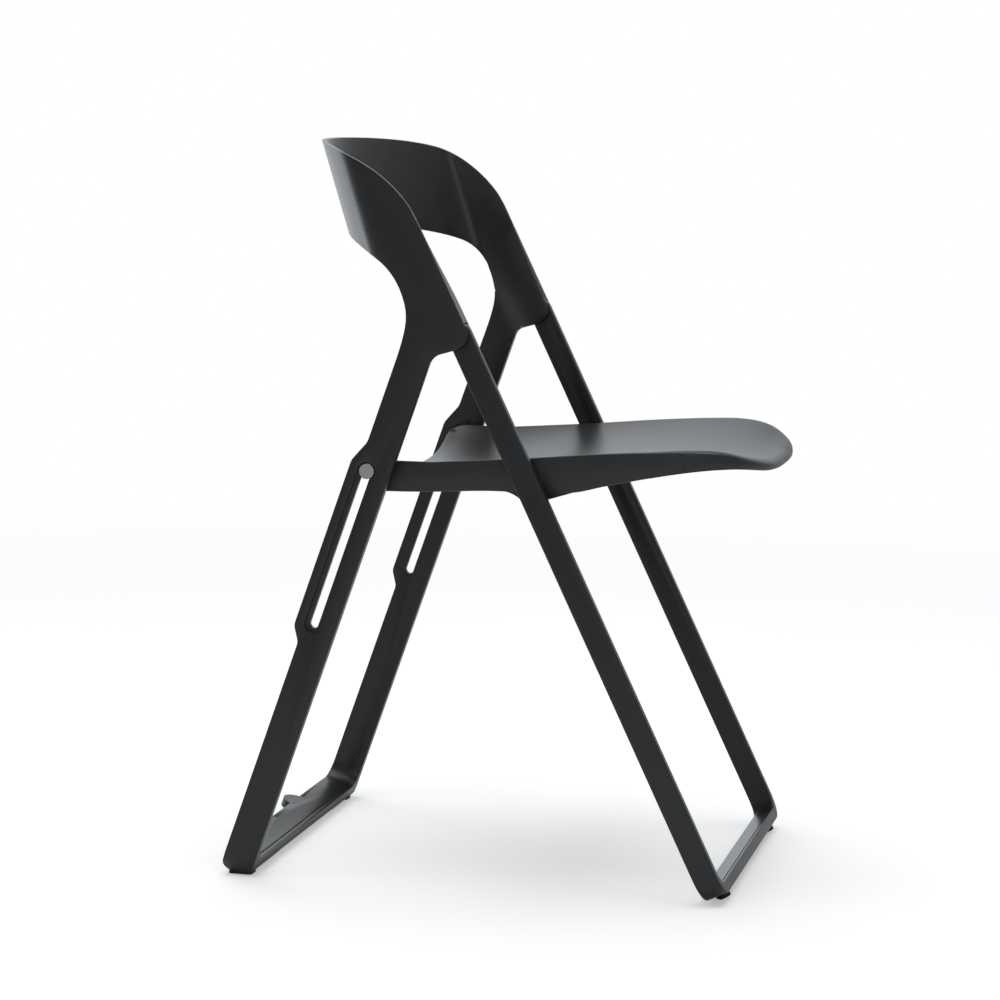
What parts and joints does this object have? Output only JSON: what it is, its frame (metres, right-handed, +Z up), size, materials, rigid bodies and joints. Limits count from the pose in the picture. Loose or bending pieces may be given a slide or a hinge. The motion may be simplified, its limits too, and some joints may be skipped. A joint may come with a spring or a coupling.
{
  "type": "folding chair",
  "caption": "Folding chair with a horseshoe back band, two slim bent leg frames and a moulded seat whose rear pins slide down slots in the rear legs.",
  "frame": {"origin": "centre of the bounding box at floor level", "axes": "+X across the chair to the sitter's left, the chair faces -Y, +Z up"},
  "size_m": [0.444, 0.5768, 0.7853],
  "materials": {
    "frame_coat": "satin dark grey powder coat on aluminium",
    "seat_plastic": "satin moulded polypropylene",
    "steel": "turned stainless steel",
    "bearing_plastic": "moulded nylon",
    "brass": "turned brass",
    "rubber": "moulded rubber"
  },
  "bodies": {
    "rear_frame": {"rear_frame": "frame_coat", "hinge_pin_right": "steel", "hinge_pin_left": "steel", "hinge_washers_right": "bearing_plastic", "hinge_washers_left": "bearing_plastic", "rear_pad_right": "rubber", "rear_pad_left": "rubber", "stack_bumper_right": "frame_coat", "stack_bumper_left": "frame_coat"},
    "front_frame": {"front_frame": "frame_coat", "hinge_bush_right": "bearing_plastic", "hinge_bush_left": "bearing_plastic", "seat_pivot_pin_right": "steel", "seat_pivot_pin_left": "steel", "seat_spacer_right": "bearing_plastic", "seat_spacer_left": "bearing_plastic", "pivot_clip_right": "steel", "pivot_clip_left": "steel", "front_foot_right": "rubber", "front_foot_left": "rubber", "foot_screws": "steel"},
    "seat": {"seat_shell": "seat_plastic", "seat_pivot_bush_right": "bearing_plastic", "seat_pivot_bush_left": "bearing_plastic", "pin_insert_right": "brass", "pin_insert_left": "brass"},
    "slide_pins": {"slide_pin_right": "steel", "slide_pin_left": "steel", "slide_sleeve_right": "bearing_plastic", "slide_sleeve_left": "bearing_plastic", "slide_collar_right": "bearing_plastic", "slide_collar_left": "bearing_plastic"}
  },
  "joints": [
    {"name": "fold", "type": "hinge", "parent": "rear_frame", "child": "front_frame", "pos_m": [0, 0.029, 0.5885], "axis": [1, 0, 0], "range_deg": [0, 44]},
    {"name": "seat_tilt", "type": "hinge", "parent": "front_frame", "child": "seat", "pos_m": [0, -0.0483, 0.43105], "axis": [1, 0, 0], "range_deg": [-104, 0]},
    {"name": "pin_slide", "type": "slide", "parent": "rear_frame", "child": "slide_pins", "axis": [0, 0.3173, -0.9483], "range_m": [0, 0.1734]}
  ],
  "couplings": [
    {"joint": "seat_tilt", "follows": "fold", "ratio": -2.3625},
    {"joint": "pin_slide", "follows": "fold", "m_per_rad": 0.2256}
  ]
}
